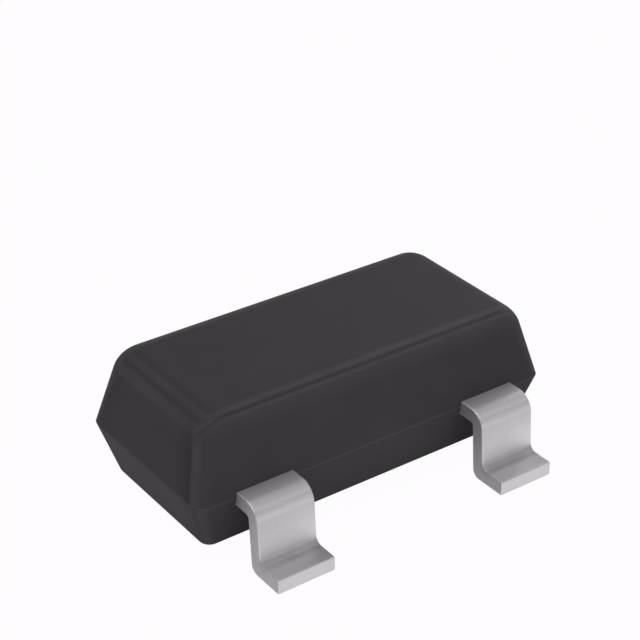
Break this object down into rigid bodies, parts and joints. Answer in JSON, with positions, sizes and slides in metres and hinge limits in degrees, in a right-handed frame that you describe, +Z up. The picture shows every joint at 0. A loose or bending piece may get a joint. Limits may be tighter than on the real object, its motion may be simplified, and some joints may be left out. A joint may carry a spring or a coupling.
{
  "type": "voltage supervisor ic",
  "caption": "Surface-mount reset supervisor: black moulded body with drafted sides, gull-wing leads, and chip, paddle and bond wires inside.",
  "frame": {"origin": "centre of the package on the plane that the three feet stand on", "axes": "+X along the body, +Y towards the side with the single lead, +Z up from the board"},
  "size_m": [0.003, 0.0024, 0.0011],
  "materials": {
    "moulding_compound": "black epoxy moulding compound, matte",
    "tin_plated_lead": "matte tin plating on copper alloy strip",
    "silicon": "polished silicon with a passivated face",
    "die_adhesive": "silver-filled epoxy, cured",
    "gold_wire": "drawn gold wire"
  },
  "bodies": {
    "root": {"mould_body": "moulding_compound", "lead_1": "tin_plated_lead", "lead_2": "tin_plated_lead", "lead_3": "tin_plated_lead", "die": "silicon", "die_attach": "die_adhesive", "bond_wire_1": "gold_wire", "bond_wire_2": "gold_wire", "bond_wire_3": "gold_wire"}
  },
  "joints": []
}
